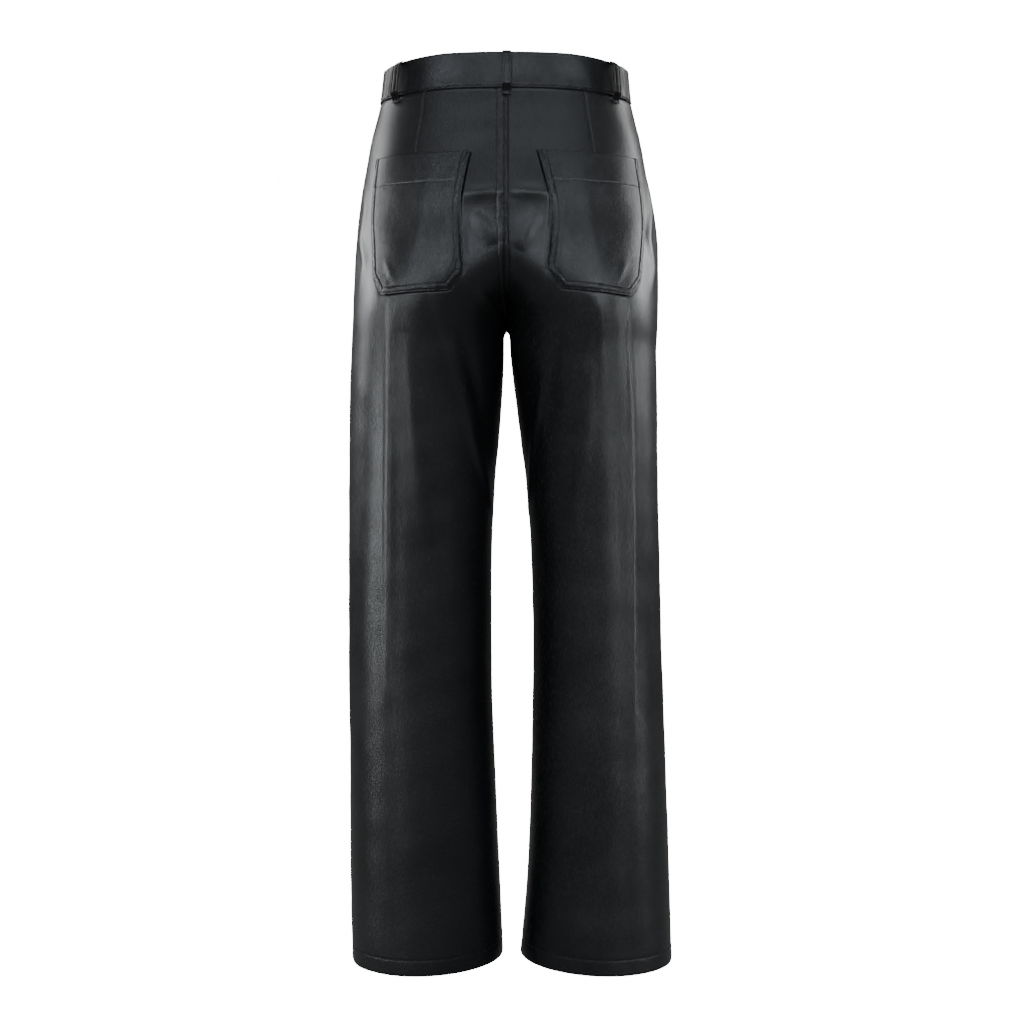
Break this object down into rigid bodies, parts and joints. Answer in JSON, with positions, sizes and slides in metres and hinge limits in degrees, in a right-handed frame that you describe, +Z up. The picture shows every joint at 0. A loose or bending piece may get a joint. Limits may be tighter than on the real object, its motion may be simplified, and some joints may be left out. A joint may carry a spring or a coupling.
{
  "type": "leather trousers",
  "caption": "High-waisted straight-leg leather trousers with back patch pockets and belt loops, worn and filled out, held at the waist",
  "frame": {"origin": "centre of the waist ring, halfway up the waistband, where the wearer's waist holds the trousers", "axes": "+Z up, front of the garment towards -Y, the wearer's left towards +X"},
  "size_m": [0.3806, 0.2496, 1.0545],
  "materials": {
    "leather": "smooth black nappa leather, soft satin sheen",
    "pocket_leather": "smooth black nappa leather, soft satin sheen",
    "trim_leather": "smooth black nappa leather, doubled and edge-stitched",
    "zip_tape": "black woven zip tape with a closed dark chain",
    "dark_metal": "dark gunmetal, satin"
  },
  "bodies": {
    "root": {"front_left": "leather", "front_right": "leather", "back_left": "leather", "back_right": "leather", "pocket_left": "pocket_leather", "pocket_right": "pocket_leather", "waistband": "trim_leather", "belt_loop_back": "trim_leather", "belt_loop_back_left": "trim_leather", "belt_loop_back_right": "trim_leather", "belt_loop_front_left": "trim_leather", "belt_loop_front_right": "trim_leather", "fly_zip": "zip_tape", "zip_slider": "dark_metal", "waist_button": "dark_metal"}
  },
  "joints": []
}
